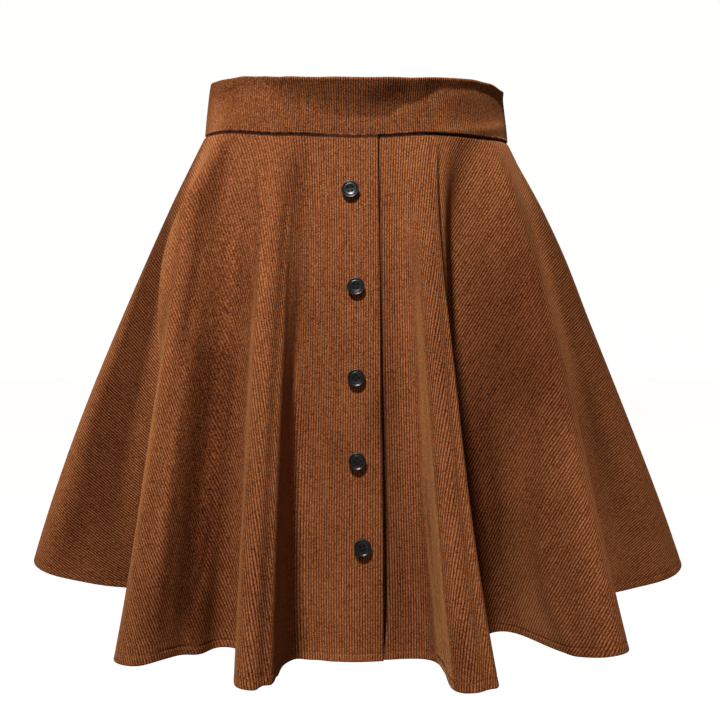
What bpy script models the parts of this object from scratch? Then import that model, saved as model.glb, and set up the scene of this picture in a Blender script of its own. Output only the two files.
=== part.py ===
"""A-line skirt in corduroy, with a waistband and five buttons down a lapped
front placket.

Units are metres, +Z up.  The front faces -Y and +X is the wearer's left.  The
origin is the centre of the waist opening, level with the band's top edge.

The cloth is one lofted form.  A point on it has two coordinates:
  u  arc length around the waist seam, 0 at centre front, + towards +X
  v  0 at the waist seam, 1 at the hem
The skirt is cut in flare, so a strip that starts at u is turned by cut_angle(u)
against the centre front grain, and the hem has far more cloth than the waist.
The FOLDS table says where that extra cloth stands, fold by fold.
"""

from collections import namedtuple
from math import cos, degrees, pi, radians, sin

import bmesh
import bpy
import numpy as np
from mathutils import Matrix, Vector

# ---------------------------------------------------------------- dimensions
WAIST_HALF_WIDTH = 0.1245     # at the waist seam
WAIST_HALF_DEPTH = 0.0905
BAND_TOP_HALF_WIDTH = 0.1190  # the band leans in towards its top edge
BAND_TOP_HALF_DEPTH = 0.0865
BAND_HEIGHT = 0.0425
BAND_WALL = 0.0026            # two layers and interfacing
CLOTH_WALL = 0.0014           # one layer of corduroy
SEAM_GAP = 0.0003
SEAM_STRIP = 0.0020           # narrow end columns, so walls meet squarely

SIDE_CUT = radians(75)        # cut angle at the side of the waist
SEAM_CUT = radians(80)        # cut angle at the side seams
FLARE_POWER = 1.5             # how the cut angle grows from centre to side
CLOTH_LENGTH = 0.398          # waist seam to hem, before each fold's own drop

PLACKET_EDGE = 0.0165         # folded edge, from the centre front line
PLACKET_SPREAD = 0.0045       # how much further out it lies at the hem
UNDERLAP_EDGE = -0.0190       # inner edge of the panel below
LAP_RAMP = 0.0130             # width over which the lap climbs the underlap
LAP_GAP = 0.0004
LAP_LIFT = 0.0020             # the folded edge springs off most at two thirds down

BUTTON_RADIUS = 0.0065
BUTTON_THICKNESS = 0.0031
BUTTON_RIM = 0.0014
BUTTON_DISH = 0.0009
BUTTON_HOLE_RADIUS = 0.0008
BUTTON_HOLE_SPACING = 0.0017  # from the button's centre, across and along
BUTTON_SEGMENTS = 24
HOLE_SEGMENTS = 8

FRONT_COLUMNS = 58            # grid columns in each front panel
BACK_COLUMNS = 46             # in each back panel
CLOTH_ROWS = 13
BAND_COLUMNS = 34             # in each half of the band
DROP_STEPS = 26               # steps in the sum that gives each point's height

Button = namedtuple("Button", "name across down")
BUTTONS = [                   # down is the share of the cloth's length
    Button("button_1", -0.0040, 0.107),
    Button("button_2",  0.0000, 0.292),
    Button("button_3",  0.0002, 0.463),
    Button("button_4",  0.0010, 0.618),
    Button("button_5",  0.0050, 0.785),
]

Wave = namedtuple("Wave", "around lift")
SEAM_WAVES = [                # the waist seam's rise and fall, angle from front
    Wave(-180,  0.0000),
    Wave(-130,  0.0000),
    Wave(-90,   0.0010),
    Wave(-55,   0.0032),
    Wave(-25,   0.0000),
    Wave(0,    -0.0025),
    Wave(28,    0.0004),
    Wave(60,   -0.0020),
    Wave(90,   -0.0040),
    Wave(130,  -0.0010),
]

# Each row is one crest, valley or turn of the cloth, in order round the hem.
# mid_* holds halfway down, hem_* at the hem: metres across (+X), metres
# forward (-Y), and the way the cloth faces, degrees from front towards +X.
# length is the cloth from the waist seam to the hem, hip the outward push over
# the hips.
Fold = namedtuple("Fold", "name cut mid_across mid_forward mid_faces "
                          "hem_across hem_forward hem_faces length hip")
FOLDS = [
    Fold("back_seam",      -150,  0.000, -0.124, -180,  0.000, -0.135, -180, 0.398,  0.006),
    Fold("back_crest_l2",  -136, -0.070, -0.172, -165, -0.095, -0.240, -170, 0.400,  0.003),
    Fold("back_valley_l2", -120, -0.106, -0.112, -130, -0.120, -0.118, -130, 0.398,  0.002),
    Fold("back_crest_l1",  -105, -0.168, -0.132, -130, -0.205, -0.185, -135, 0.400,  0.006),
    Fold("back_valley_l1",  -89, -0.160, -0.048, -100, -0.170, -0.065, -100, 0.398,  0.003),
    Fold("side_crest_l",    -73, -0.212,  0.000,  -85, -0.286, -0.020,  -75, 0.402, -0.001),
    Fold("valley_l1",       -57, -0.146,  0.060,  -35, -0.162,  0.036,  -20, 0.386,  0.009),
    Fold("crest_l1",        -41, -0.132,  0.136,  -38, -0.166,  0.198,  -38, 0.410,  0.011),
    Fold("valley_l2",       -24, -0.086,  0.136,  -18, -0.096,  0.146,  -10, 0.396,  0.004),
    Fold("crest_l2",        -13, -0.064,  0.170,  -10, -0.071,  0.236,   -5, 0.409,  0.003),
    Fold("centre_l",       -3.5, -0.038,  0.132,    8, -0.044,  0.150,   12, 0.396,  0.000),
    Fold("centre",            0,  0.000,  0.135,    0,  0.000,  0.153,    0, 0.396,  0.000),
    Fold("centre_r",        4.1,  0.038,  0.134,   -6,  0.051,  0.152,  -28, 0.396,  0.000),
    Fold("crest_r1",       13.5,  0.063,  0.165,   12,  0.083,  0.234,   12, 0.411,  0.005),
    Fold("turn_r1",          18,  0.079,  0.140,   75,  0.097,  0.200,   83, 0.405,  0.005),
    Fold("valley_r1",      29.5,  0.096,  0.093,   35,  0.110,  0.090,   30, 0.391, -0.006),
    Fold("crest_r2",         44,  0.148,  0.124,   45,  0.192,  0.186,   42, 0.407,  0.009),
    Fold("valley_r2",        58,  0.160,  0.060,   50,  0.182,  0.064,   35, 0.384,  0.003),
    Fold("side_crest_r",     74,  0.212,  0.000,   85,  0.288, -0.020,   75, 0.406,  0.000),
    Fold("back_valley_r1",   90,  0.160, -0.048,  100,  0.170, -0.068,  100, 0.398,  0.003),
    Fold("back_crest_r1",   105,  0.166, -0.130,  130,  0.205, -0.185,  132, 0.400,  0.006),
    Fold("back_valley_r2",  119,  0.104, -0.112,  132,  0.116, -0.116,  132, 0.398,  0.002),
    Fold("back_crest_r2",   135,  0.072, -0.170,  165,  0.092, -0.236,  168, 0.400,  0.003),
]
FOLD_ROUNDNESS = {"mid": 0.95, "hem": 0.90}

# ----------------------------------------------------- the waist and the cut
ARC_ANGLES = np.linspace(0, 2 * pi, 2001)
ARC_LENGTHS = np.concatenate([[0], np.cumsum(np.hypot(
    np.diff(WAIST_HALF_WIDTH * np.sin(ARC_ANGLES)),
    np.diff(WAIST_HALF_DEPTH * np.cos(ARC_ANGLES))))])
WAIST_GIRTH = ARC_LENGTHS[-1]
QUARTER = WAIST_GIRTH / 4


def waist_angle(u):
    """Angle round the waist, from the front towards +X, at arc length u."""
    return np.interp(np.mod(u, WAIST_GIRTH), ARC_LENGTHS, ARC_ANGLES)


def cut_angle(u):
    """How far the flared cut has turned at u: small at the centre front and
    back, steepest at the sides, and the same total on each half."""
    reach = np.abs(u) / QUARTER
    front = SIDE_CUT * np.clip(reach, 0, 1) ** FLARE_POWER
    back = 2 * SIDE_CUT - SIDE_CUT * np.clip(2 - reach, 0, 1) ** FLARE_POWER
    return np.sign(u) * np.where(reach <= 1, front, back)


def waist_at_cut(angle):
    """The inverse of cut_angle."""
    size = np.abs(angle) / SIDE_CUT
    front = np.clip(size, 0, 1) ** (1 / FLARE_POWER)
    back = 2 - np.clip(2 - size, 0, 1) ** (1 / FLARE_POWER)
    return np.sign(angle) * QUARTER * np.where(size <= 1, front, back)


def cloth_arc(u, v):
    """Length of cloth from the centre front round to u, at level v."""
    return u + CLOTH_LENGTH * v * cut_angle(u)


def waist_at_arc(arc, v):
    """The inverse of cloth_arc at level v."""
    fine = np.linspace(-2 * QUARTER, 2 * QUARTER, 4001)
    return np.interp(arc, cloth_arc(fine, v), fine)


# ------------------------------------------------------------- the lofted form
def periodic(stations, values, slopes, where):
    """Cubic Hermite curve through rows that close on themselves."""
    index = np.clip(np.searchsorted(stations, where, side="right") - 1,
                    0, len(values) - 2)
    step = stations[index + 1] - stations[index]
    t = (where - stations[index]) / step
    return ((2 * t**3 - 3 * t**2 + 1) * values[index]
            + (t**3 - 2 * t**2 + t) * step * slopes[index]
            + (3 * t**2 - 2 * t**3) * values[index + 1]
            + (t**3 - t**2) * step * slopes[index + 1])


def fold_column(name):
    rows = FOLDS + FOLDS[:1]
    return np.array([getattr(row, name) for row in rows], float)


def section(level, v, u):
    """Across and forward of the cloth at the mid or hem level."""
    stations = cloth_arc(waist_at_cut(np.radians(fold_column("cut"))), v)
    whole = 2 * cloth_arc(2 * QUARTER, v)
    stations[-1] = stations[0] + whole
    where = np.mod(cloth_arc(u, v) - stations[0], whole) + stations[0]
    faces = np.radians(fold_column(level + "_faces"))
    pull = FOLD_ROUNDNESS[level]
    across = periodic(stations, fold_column(level + "_across"),
                      pull * np.cos(faces), where)
    forward = periodic(stations, fold_column(level + "_forward"),
                       -pull * np.sin(faces), where)
    return across, forward


def fold_value(name, u):
    """A plain column of FOLDS, eased from row to row."""
    stations = cloth_arc(waist_at_cut(np.radians(fold_column("cut"))), 1)
    whole = 2 * cloth_arc(2 * QUARTER, 1)
    stations[-1] = stations[0] + whole
    where = np.mod(cloth_arc(u, 1) - stations[0], whole) + stations[0]
    values = fold_column(name)
    return periodic(stations, values, np.zeros(len(values)), where)


def seam_lift(u):
    """Rise of the waist seam above its level at u."""
    rows = SEAM_WAVES + SEAM_WAVES[:1]
    stations = np.array([row.around for row in rows], float)
    stations[-1] += 360
    values = np.array([row.lift for row in rows], float)
    where = np.mod(np.degrees(waist_angle(u)) + 180, 360) - 180
    return periodic(stations, values, np.zeros(len(values)), where)


def plan(u, v):
    """Across and forward of the cloth: a parabola down from the waist through
    the mid and hem sections, pushed out over the hips."""
    angle = waist_angle(u)
    waist = WAIST_HALF_WIDTH * np.sin(angle), WAIST_HALF_DEPTH * np.cos(angle)
    mid = section("mid", 0.5, u)
    hem = section("hem", 1.0, u)
    out = np.array([WAIST_HALF_DEPTH * np.sin(angle),
                    WAIST_HALF_WIDTH * np.cos(angle)])
    out /= np.hypot(*out)
    push = fold_value("hip", u) * 6.75 * v * (1 - v) ** 2
    return [(1 - v) * (1 - 2 * v) * waist[i] + 4 * v * (1 - v) * mid[i]
            + v * (2 * v - 1) * hem[i] + push * out[i] for i in (0, 1)]


def cloth(u, v):
    """Points (n, 3) on the outside of the cloth.  Each strip keeps its own
    length, so what it spends in travelling outwards it loses in height."""
    u, v = np.broadcast_arrays(np.asarray(u, float), np.asarray(v, float))
    length = fold_value("length", u)
    across, forward = plan(u, 0 * v)
    drop = 0 * v
    for k in range(1, DROP_STEPS + 1):
        next_across, next_forward = plan(u, v * k / DROP_STEPS)
        run = length * v / DROP_STEPS
        rise = run**2 - (next_across - across)**2 - (next_forward - forward)**2
        drop = drop + np.sqrt(np.maximum(rise, (0.2 * run)**2))
        across, forward = next_across, next_forward
    height = -BAND_HEIGHT - SEAM_GAP + seam_lift(u) * (1 - v) - drop
    return np.stack([across, -forward, height], axis=-1)


def outward(u, v, step=0.0005):
    """Unit normals of the cloth, facing away from the inside."""
    low, high = np.clip(v - step, 0, 1), np.clip(v + step, 0, 1)
    around = cloth(u + step, v) - cloth(u - step, v)
    down = cloth(u, high) - cloth(u, low)
    normal = np.cross(down, around)
    return normal / np.linalg.norm(normal, axis=-1, keepdims=True)


# ------------------------------------------------------------- the placket
def pattern_across(u, v):
    """Distance from the centre front line on the flat cut piece."""
    return u + CLOTH_LENGTH * v * np.sin(cut_angle(u))


def waist_at_pattern(distance, v):
    """The u whose strip crosses a line parallel to centre front at level v."""
    fine = np.linspace(-0.3 * QUARTER, 0.3 * QUARTER, 401)
    return np.array([np.interp(d, pattern_across(fine, w), fine)
                     for d, w in zip(np.atleast_1d(distance), np.atleast_1d(v))])


def lap_edge(v):
    """The placket's folded edge, as u."""
    return waist_at_pattern(PLACKET_EDGE + PLACKET_SPREAD * v, v)


def underlap_edge(v):
    return waist_at_pattern(UNDERLAP_EDGE + 0 * v, v)


def lap_height(u, v):
    """How far the lap panel's outside stands off the underlap's outside."""
    flat = pattern_across(u, v)
    climb = np.clip((flat - UNDERLAP_EDGE + LAP_RAMP) / LAP_RAMP, 0, 1)
    climb = climb * climb * (3 - 2 * climb)
    edge = np.clip((flat - 0.2 * PLACKET_EDGE) / PLACKET_EDGE, 0, 1) ** 2
    spring = 6.75 * v**2 * (1 - v)
    return climb * (CLOTH_WALL + LAP_GAP) + edge * LAP_LIFT * spring


# ------------------------------------------------------------- build helpers
def clear_scene():
    for item in list(bpy.data.objects):
        bpy.data.objects.remove(item, do_unlink=True)


def new_collection(name):
    collection = bpy.data.collections.new(name)
    bpy.context.scene.collection.children.link(collection)
    return collection


def make_material(name, colour, roughness):
    material = bpy.data.materials.new(name)
    material.use_nodes = True
    shader = material.node_tree.nodes["Principled BSDF"]
    shader.inputs["Base Color"].default_value = (*colour, 1)
    shader.inputs["Roughness"].default_value = roughness
    shader.inputs["Metallic"].default_value = 0
    return material


def add_object(name, mesh, material, collection):
    item = bpy.data.objects.new(name, mesh)
    mesh.materials.append(material)
    collection.objects.link(item)
    return item


def grid_mesh(name, points):
    """An open sheet through a (rows, columns, 3) array, facing outwards."""
    rows, columns = points.shape[:2]
    sheet = bmesh.new()
    verts = [[sheet.verts.new(points[r, c]) for c in range(columns)]
             for r in range(rows)]
    for r in range(rows - 1):
        for c in range(columns - 1):
            sheet.faces.new((verts[r][c], verts[r + 1][c],
                             verts[r + 1][c + 1], verts[r][c + 1]))
    mesh = bpy.data.meshes.new(name)
    sheet.to_mesh(mesh)
    sheet.free()
    mesh.shade_smooth()
    return mesh


def add_wall(item, thickness):
    """Thickness grows inwards from the modelled outside."""
    wall = item.modifiers.new("wall", "SOLIDIFY")
    wall.thickness = thickness
    wall.offset = -1
    wall.use_even_offset = True
    wall.use_rim = True


def trim_side(points, column, neighbour):
    """Draw one side edge back by half the seam gap."""
    towards = points[:, neighbour] - points[:, column]
    towards /= np.linalg.norm(towards, axis=-1, keepdims=True)
    points[:, column] += towards * SEAM_GAP / 2


def columns_between(start, end, count):
    """Even stations from start to end, with a narrow strip at each end."""
    even = np.linspace(start + SEAM_STRIP, end - SEAM_STRIP, count - 1)
    return np.concatenate([[start], even, [end]])


# ------------------------------------------------------------- cloth pieces
def panel_grid(left_edge, right_edge, columns):
    """u and v over a panel, evenly spaced along the cloth's own arc."""
    levels = np.linspace(0, 1, CLOTH_ROWS + 1)
    u = np.empty((CLOTH_ROWS + 1, columns + 1))
    for row, v in enumerate(levels):
        arcs = columns_between(cloth_arc(left_edge(v), 1.0),
                               cloth_arc(right_edge(v), 1.0), columns)
        u[row] = waist_at_arc(arcs, 1.0)
    return u, np.broadcast_to(levels[:, None], u.shape)


def seam_edge(side):
    """A side seam, or the centre back when side is 2."""
    u = float(waist_at_cut(np.array(SEAM_CUT))) * side
    return lambda v: u


def single(edge):
    return lambda v: float(edge(np.array([v]))[0])


def make_front_lap_panel(material, collection):
    """The front on -X, folded back at the placket, which laps over."""
    u, v = panel_grid(seam_edge(-1), single(lap_edge), FRONT_COLUMNS)
    points = cloth(u, v) + outward(u, v) * lap_height(u, v)[..., None]
    trim_side(points, 0, 1)
    item = add_object("front_lap_panel", grid_mesh("front_lap_panel", points),
                      material, collection)
    add_wall(item, CLOTH_WALL)


def make_front_under_panel(material, collection):
    """The front on +X, which runs on below the lap."""
    u, v = panel_grid(single(underlap_edge), seam_edge(1), FRONT_COLUMNS)
    points = cloth(u, v)
    trim_side(points, -1, -2)
    item = add_object("front_under_panel",
                      grid_mesh("front_under_panel", points),
                      material, collection)
    add_wall(item, CLOTH_WALL)


def make_back_panel(name, start, end, material, collection):
    """Half of the back, from a side seam to the centre back.  start and end are
    cloth arcs at the hem, counted on past the centre back."""
    half = cloth_arc(2 * QUARTER, 1.0)
    arcs = columns_between(start, end, BACK_COLUMNS)
    columns = np.where(arcs <= half, waist_at_arc(arcs, 1.0),
                       -waist_at_arc(2 * half - arcs, 1.0))
    u, v = np.meshgrid(columns, np.linspace(0, 1, CLOTH_ROWS + 1))
    points = cloth(u, v)
    trim_side(points, 0, 1)
    trim_side(points, -1, -2)
    item = add_object(name, grid_mesh(name, points), material, collection)
    add_wall(item, CLOTH_WALL)


def band_points(u, height):
    """The band's outside: height 0 at its top edge, 1 at the waist seam."""
    angle = waist_angle(u)
    half_width = BAND_TOP_HALF_WIDTH + height * (WAIST_HALF_WIDTH
                                                 - BAND_TOP_HALF_WIDTH)
    half_depth = BAND_TOP_HALF_DEPTH + height * (WAIST_HALF_DEPTH
                                                 - BAND_TOP_HALF_DEPTH)
    proud = (BAND_WALL - CLOTH_WALL) / 2
    return np.stack([(half_width + proud) * np.sin(angle),
                     -(half_depth + proud) * np.cos(angle),
                     height * (seam_lift(u) - BAND_HEIGHT)], axis=-1)


def make_waistband(name, start, end, material, collection):
    columns = columns_between(start, end, BAND_COLUMNS)
    u, height = np.meshgrid(columns, np.linspace(0, 1, 3))
    points = band_points(u, height)
    trim_side(points, 0, 1)
    trim_side(points, -1, -2)
    item = add_object(name, grid_mesh(name, points), material, collection)
    add_wall(item, BAND_WALL)


# ------------------------------------------------------------- buttons
def button_mesh():
    """A turned disc: flat back, rounded edge, raised rim and a dished face."""
    inner = BUTTON_RADIUS - BUTTON_RIM
    profile = [(0.0, 0.0), (BUTTON_RADIUS - 0.0010, 0.0),
               (BUTTON_RADIUS, 0.0010), (BUTTON_RADIUS, 0.0021),
               (BUTTON_RADIUS - 0.0007, BUTTON_THICKNESS), (inner, 0.0026),
               (inner - 0.0006, BUTTON_THICKNESS - BUTTON_DISH),
               (0.0, BUTTON_THICKNESS - BUTTON_DISH)]
    turned = bmesh.new()
    verts = [turned.verts.new((r, 0, z)) for r, z in profile]
    for a, b in zip(verts, verts[1:]):
        turned.edges.new((a, b))
    bmesh.ops.spin(turned, geom=turned.verts[:] + turned.edges[:],
                   cent=(0, 0, 0), axis=(0, 0, 1), angle=2 * pi,
                   steps=BUTTON_SEGMENTS, use_merge=True)
    bmesh.ops.remove_doubles(turned, verts=turned.verts, dist=0.00001)
    bmesh.ops.recalc_face_normals(turned, faces=turned.faces)
    mesh = bpy.data.meshes.new("button")
    turned.to_mesh(mesh)
    turned.free()
    return mesh


def button_hole_cutter(collection):
    """Four pins in one mesh, for the thread holes."""
    pins = bmesh.new()
    for x in (-1, 1):
        for y in (-1, 1):
            place = Matrix.Translation((x * BUTTON_HOLE_SPACING,
                                        y * BUTTON_HOLE_SPACING,
                                        BUTTON_THICKNESS / 2))
            bmesh.ops.create_cone(pins, cap_ends=True, segments=HOLE_SEGMENTS,
                                  radius1=BUTTON_HOLE_RADIUS,
                                  radius2=BUTTON_HOLE_RADIUS,
                                  depth=3 * BUTTON_THICKNESS, matrix=place)
    mesh = bpy.data.meshes.new("button_hole_cutter")
    pins.to_mesh(mesh)
    pins.free()
    cutter = bpy.data.objects.new("button_hole_cutter", mesh)
    cutter.hide_render = True
    cutter.display_type = "WIRE"
    collection.objects.link(cutter)
    return cutter


def drill(item, cutter):
    """Cut the thread holes while the button still lies at the origin."""
    holes = item.modifiers.new("thread_holes", "BOOLEAN")
    holes.object = cutter
    holes.operation = "DIFFERENCE"
    holes.solver = "EXACT"
    bpy.context.view_layer.update()
    graph = bpy.context.evaluated_depsgraph_get()
    drilled = bpy.data.meshes.new_from_object(item.evaluated_get(graph))
    item.modifiers.clear()
    return drilled


def button_place(button):
    """Back of the button just off the lap panel, its face along the normal."""
    v = np.array([button.down])
    u = waist_at_pattern(np.array([button.across]), v)
    normal = outward(u, v)[0]
    seat = cloth(u, v)[0] + normal * (lap_height(u, v)[0] + SEAM_GAP)
    face = Vector(normal)
    across = Vector((0, 0, 1)).cross(face).normalized()
    turn = Matrix((across, face.cross(across), face)).transposed()
    return Matrix.Translation(Vector(seat)) @ turn.to_4x4()


def make_buttons(material, collection, helpers):
    blank = add_object("button_blank", button_mesh(), material, helpers)
    blank.hide_render = True
    drilled = drill(blank, button_hole_cutter(helpers))
    drilled.shade_smooth()
    drilled.set_sharp_from_angle(angle=radians(35))
    bpy.data.objects.remove(blank, do_unlink=True)
    for button in BUTTONS:
        item = bpy.data.objects.new(button.name, drilled)
        item.matrix_world = button_place(button)
        collection.objects.link(item)


# ------------------------------------------------------------- the skirt
def main():
    clear_scene()
    skirt = new_collection("a_line_skirt")
    helpers = new_collection("helpers")
    corduroy = make_material("corduroy", (0.16, 0.062, 0.022), 0.92)
    black_plastic = make_material("black_plastic", (0.012, 0.012, 0.013), 0.22)

    side = float(waist_at_cut(np.array(SEAM_CUT)))
    make_waistband("waistband_front", -side, side, corduroy, skirt)
    make_waistband("waistband_back", side, WAIST_GIRTH - side, corduroy, skirt)
    make_front_lap_panel(corduroy, skirt)
    make_front_under_panel(corduroy, skirt)
    side_arc = cloth_arc(side, 1.0)
    back_arc = cloth_arc(2 * QUARTER, 1.0)
    make_back_panel("back_left_panel", side_arc, back_arc, corduroy, skirt)
    make_back_panel("back_right_panel", back_arc, 2 * back_arc - side_arc,
                    corduroy, skirt)
    make_buttons(black_plastic, skirt, helpers)


main()
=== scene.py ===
"""The looks of an a-line skirt in brown corduroy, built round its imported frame.

Metres, +Z up.  The front faces -Y, and +X is the wearer's left.  The origin is
the centre of the waist opening, level with the waistband's top edge.
"""

from collections import namedtuple
from math import cos, pi, radians, sin

import bmesh
import bpy
import numpy as np
from mathutils import Matrix, Vector


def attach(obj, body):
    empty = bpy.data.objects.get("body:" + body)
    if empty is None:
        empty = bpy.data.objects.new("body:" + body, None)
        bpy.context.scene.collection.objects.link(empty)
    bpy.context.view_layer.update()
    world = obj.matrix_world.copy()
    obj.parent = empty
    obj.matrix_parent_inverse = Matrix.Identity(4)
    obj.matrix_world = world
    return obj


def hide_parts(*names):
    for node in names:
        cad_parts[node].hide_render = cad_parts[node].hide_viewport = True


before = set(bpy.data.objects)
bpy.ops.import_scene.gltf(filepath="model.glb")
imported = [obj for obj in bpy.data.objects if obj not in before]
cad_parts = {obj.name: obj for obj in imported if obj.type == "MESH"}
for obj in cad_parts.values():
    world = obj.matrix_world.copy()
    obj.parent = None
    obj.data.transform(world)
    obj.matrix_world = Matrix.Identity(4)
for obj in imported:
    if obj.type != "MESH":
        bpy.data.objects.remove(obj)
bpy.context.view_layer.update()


# ---------------------------------------------------------- front lap panel
# The wearer's right front, cut in flare from brown corduroy with its wales
# along the centre front.  Its edge is folded back down the placket and laps
# over the other front; the hem is turned up once and stitched.
WAIST_HALF_WIDTH = 0.1245
WAIST_HALF_DEPTH = 0.0905
SIDE_CUT = radians(75)      # how far the cut has turned at the side
SEAM_CUT = radians(80)      # and at the side seams
CUT_GROWTH = 1.5            # how late the turning gathers
CLOTH_LENGTH = 0.398
WAIST_SEAM_HEIGHT = -0.0428


def summed(steps):
    return np.concatenate([[0], np.cumsum(steps)])


oval_angles = np.linspace(0, 2 * pi, 2001)
oval_lengths = summed(np.hypot(np.diff(WAIST_HALF_WIDTH * np.sin(oval_angles)),
                               np.diff(WAIST_HALF_DEPTH * np.cos(oval_angles))))
WAIST_GIRTH = oval_lengths[-1]
QUARTER = WAIST_GIRTH / 4


def waist_angle(u):
    """Angle round the waist, from the front towards +X, at arc length u."""
    return np.interp(np.mod(u, WAIST_GIRTH), oval_lengths, oval_angles)


def cut_angle(u):
    """How far the flared cut has turned against the centre front at u."""
    reach = np.abs(u) / QUARTER
    front = SIDE_CUT * np.clip(reach, 0, 1) ** CUT_GROWTH
    back = 2 * SIDE_CUT - SIDE_CUT * np.clip(2 - reach, 0, 1) ** CUT_GROWTH
    return np.sign(u) * np.where(reach <= 1, front, back)


def waist_at_cut(angle):
    size = np.abs(angle) / SIDE_CUT
    front = np.clip(size, 0, 1) ** (1 / CUT_GROWTH)
    back = 2 - np.clip(2 - size, 0, 1) ** (1 / CUT_GROWTH)
    return np.sign(angle) * QUARTER * np.where(size <= 1, front, back)


def cloth_arc(u, v):
    """Length of cloth from the centre front round to u, at level v."""
    return u + CLOTH_LENGTH * v * cut_angle(u)


def cut_line(cut, v):
    """Where a line of the cut, in degrees, lies along the cloth at level v."""
    return cloth_arc(waist_at_cut(np.radians(np.asarray(cut, float))), v)


def waist_at_hem(arc):
    """The place at the waist above a place along the hem's cloth."""
    fine = np.linspace(-2 * QUARTER, 2 * QUARTER, 4001)
    return np.interp(arc, cloth_arc(fine, 1), fine)


def near(distance, reach):
    return np.exp(-(distance / reach) ** 2)


def eased(stations, values, slopes, where):
    """Smooth curve through rows of listed values."""
    index = np.clip(np.searchsorted(stations, where, side="right") - 1,
                    0, len(values) - 2)
    step = stations[index + 1] - stations[index]
    t = (where - stations[index]) / step
    return ((2 * t**3 - 3 * t**2 + 1) * values[index]
            + (t**3 - 2 * t**2 + t) * step * slopes[index]
            + (3 * t**2 - 2 * t**3) * values[index + 1]
            + (t**3 - t**2) * step * slopes[index + 1])


# The folds in order round the hem, in degrees and millimetres: the cut, then how
# far across (+X) and forward (-Y) it lies and the way the cloth faces, halfway
# down and at the hem, the cloth's length, and how far the hip stands out.
Fold = namedtuple("Fold", "cut mid_across mid_forward mid_faces "
                          "hem_across hem_forward hem_faces length hip")
FOLDS = [Fold(*row) for row in [
    (-150, 0, -124, -180, 0, -135, -180, 398, 6),
    (-136, -70, -172, -165, -95, -240, -170, 400, 3),
    (-120, -106, -112, -130, -120, -118, -130, 398, 2),
    (-105, -168, -132, -130, -205, -185, -135, 400, 6),
    (-89, -160, -48, -100, -170, -65, -100, 398, 3),
    (-73, -213.8, 0, -85, -286, -20, -75, 402, -1),
    (-57, -146, 60, -35, -162, 36, -20, 386, 7.8),
    (-41, -132, 136, -38, -166, 198, -38, 410, 11),
    (-29.5, -105, 137, 25, -119, 170, 48, 399, 7),
    (-24, -86, 136, -18, -96, 146, -10, 396, 4),
    (-13, -64, 170, -10, -71, 236, -5, 409, 3),
    (-10.5, -54.2, 165, 20, -58.8, 230.5, 20, 404, 2),
    (-9, -50.6, 155, 74, -54.8, 210, 84, 399, 1),
    (-3.5, -36.5, 132, 8, -41.5, 151, 12, 396, 0),
    (0, 0, 135, 0, 0, 153, 0, 396, 0),
    (4.1, 38, 134, -6, 51, 152, -28, 396, 0),
    (13.5, 60, 165, 12, 80, 235, 10, 411, 5),
    (16.5, 69.2, 160.5, 16, 95.5, 227.5, 14, 410, 5),
    (18.5, 71.3, 142, 86, 97.8, 204, 88, 405, 4),
    (29.5, 78, 94, 20, 110, 93, 26, 396, -6),
    (44, 148, 124, 45, 192, 186, 42, 407, 9),
    (58, 160, 60, 50, 182, 64, 35, 384, 3),
    (74, 212, 0, 85, 288, -20, 75, 406, 0),
    (90, 160, -48, 100, 170, -68, 100, 398, 3),
    (105, 166, -130, 130, 205, -185, 132, 400, 6),
    (119, 104, -112, 132, 116, -116, 132, 398, 2),
    (135, 72, -170, 165, 92, -236, 168, 400, 3),
]]
FOLD_ROUNDNESS = {"mid": 0.95, "hem": 0.90}     # how fully the folds round out


def fold_curve(u, v, name, slopes=0):
    """One column of FOLDS, eased from row to row round the whole hem."""
    rows = FOLDS + FOLDS[:1]
    stations = cut_line([row.cut for row in rows], v)
    whole = 2 * cloth_arc(2 * QUARTER, v)
    stations[-1] = stations[0] + whole
    values = np.array([getattr(row, name) for row in rows]) / 1000
    where = np.mod(cloth_arc(u, v) - stations[0], whole) + stations[0]
    return eased(stations, values, slopes + 0 * values, where)


def fold_section(u, v, level):
    faces = np.radians([getattr(row, level + "_faces")
                        for row in FOLDS + FOLDS[:1]])
    pull = FOLD_ROUNDNESS[level]
    return (fold_curve(u, v, level + "_across", pull * np.cos(faces)),
            fold_curve(u, v, level + "_forward", -pull * np.sin(faces)))


# How the waist seam rises and dips: degrees round from the front, millimetres.
SEAM_WAVES = [(-180, 0), (-130, 0), (-90, 1), (-55, 3.2), (-25, 0), (0, -2.5),
              (28, 0.4), (60, -2), (90, -4), (130, -1)]


def round_waist(u, rows):
    """The columns of listed rows, eased from row to row round the waist."""
    stations, *columns = np.array(rows + [(180, *rows[0][1:])], float).T
    where = np.mod(np.degrees(waist_angle(u)) + 180, 360) - 180
    return [eased(stations, column, 0 * column, where) for column in columns]


def wave(u, rows):
    return round_waist(u, rows)[0] / 1000


CLOTH_STEPS = 26            # from the waist seam down to a point
HIP_PEAK = 6.75             # brings w (1 - w)^2 up to 1 at the hip
LEAST_FALL = 0.2            # of its run, where the cloth spreads most


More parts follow.
